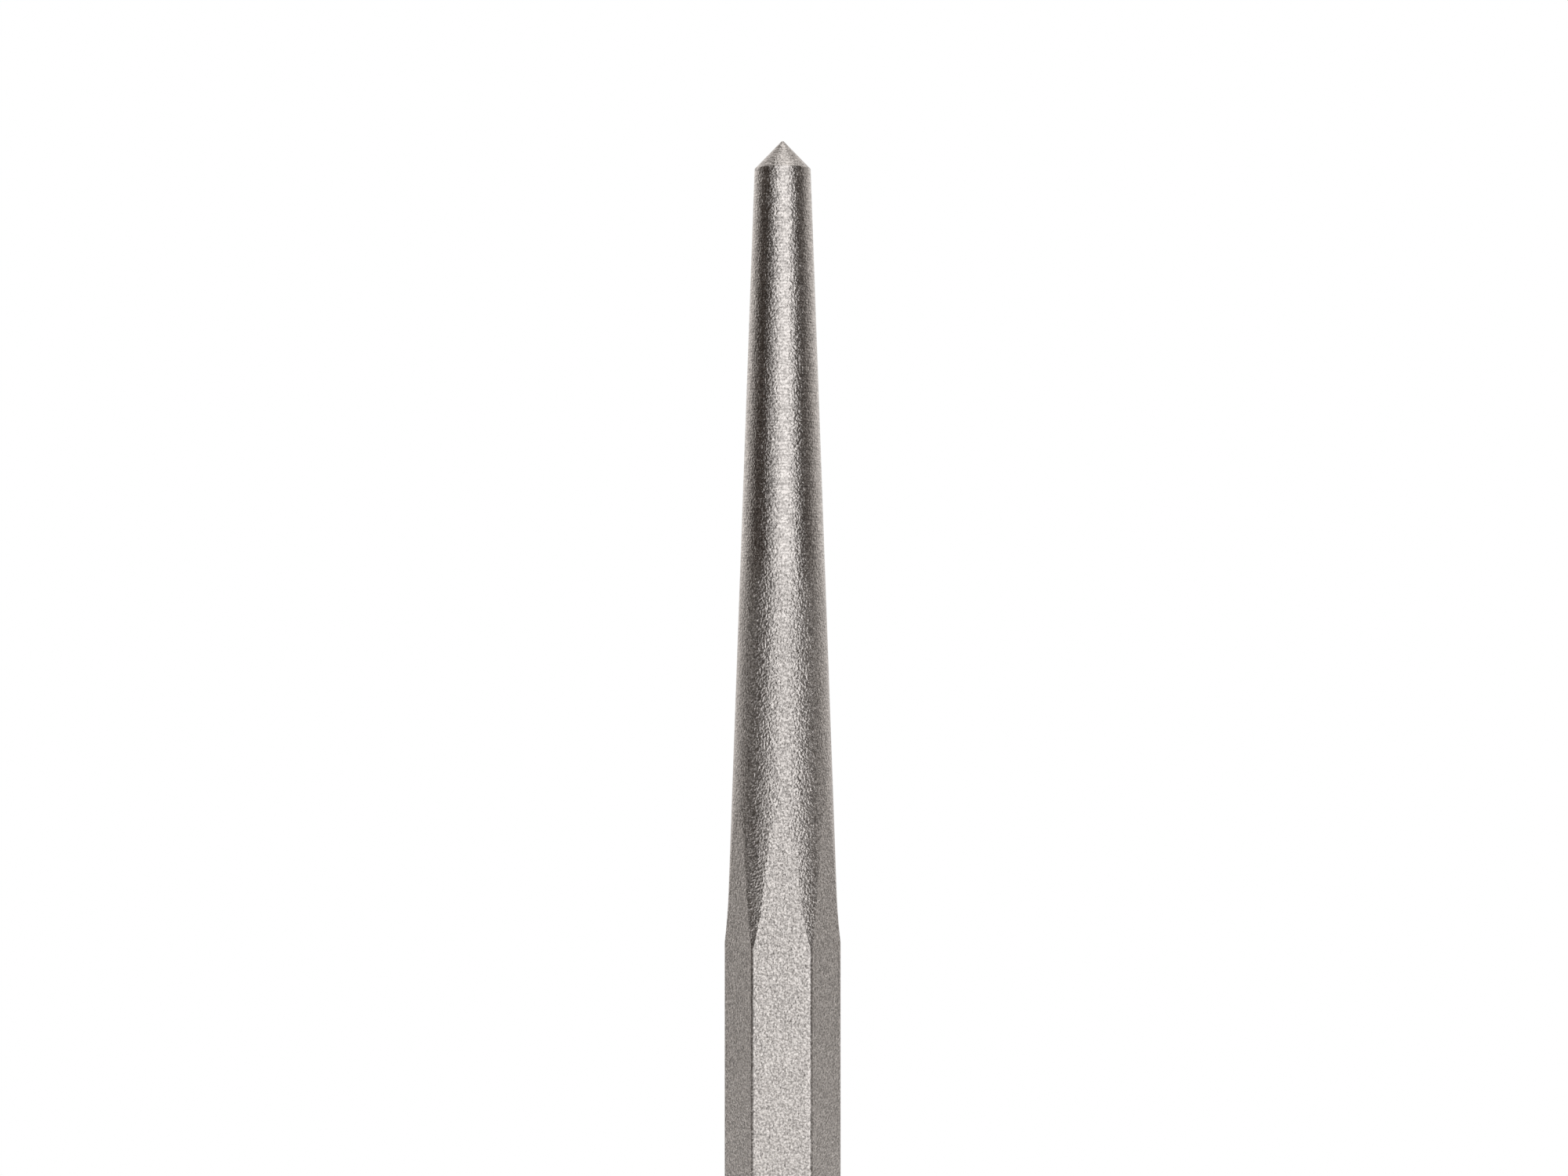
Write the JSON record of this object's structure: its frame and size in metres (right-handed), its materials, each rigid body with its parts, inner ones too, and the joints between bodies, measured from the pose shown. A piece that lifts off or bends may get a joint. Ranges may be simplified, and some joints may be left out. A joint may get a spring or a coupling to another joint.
{
  "type": "center punch",
  "caption": "Solid hexagon-bar center punch: conical point, long round taper blending into a hexagonal grip, bevelled flat struck end.",
  "frame": {"origin": "centre of the flat struck face", "axes": "+Z along the bar from the struck end to the point; two of the six flats face -Y and +Y"},
  "size_m": [0.0108, 0.0096, 0.1524],
  "materials": {
    "plated_steel": "satin nickel-grey plating over grit-blasted steel, fine turning lines on the taper"
  },
  "bodies": {
    "root": {"punch_body": "plated_steel"}
  },
  "joints": []
}
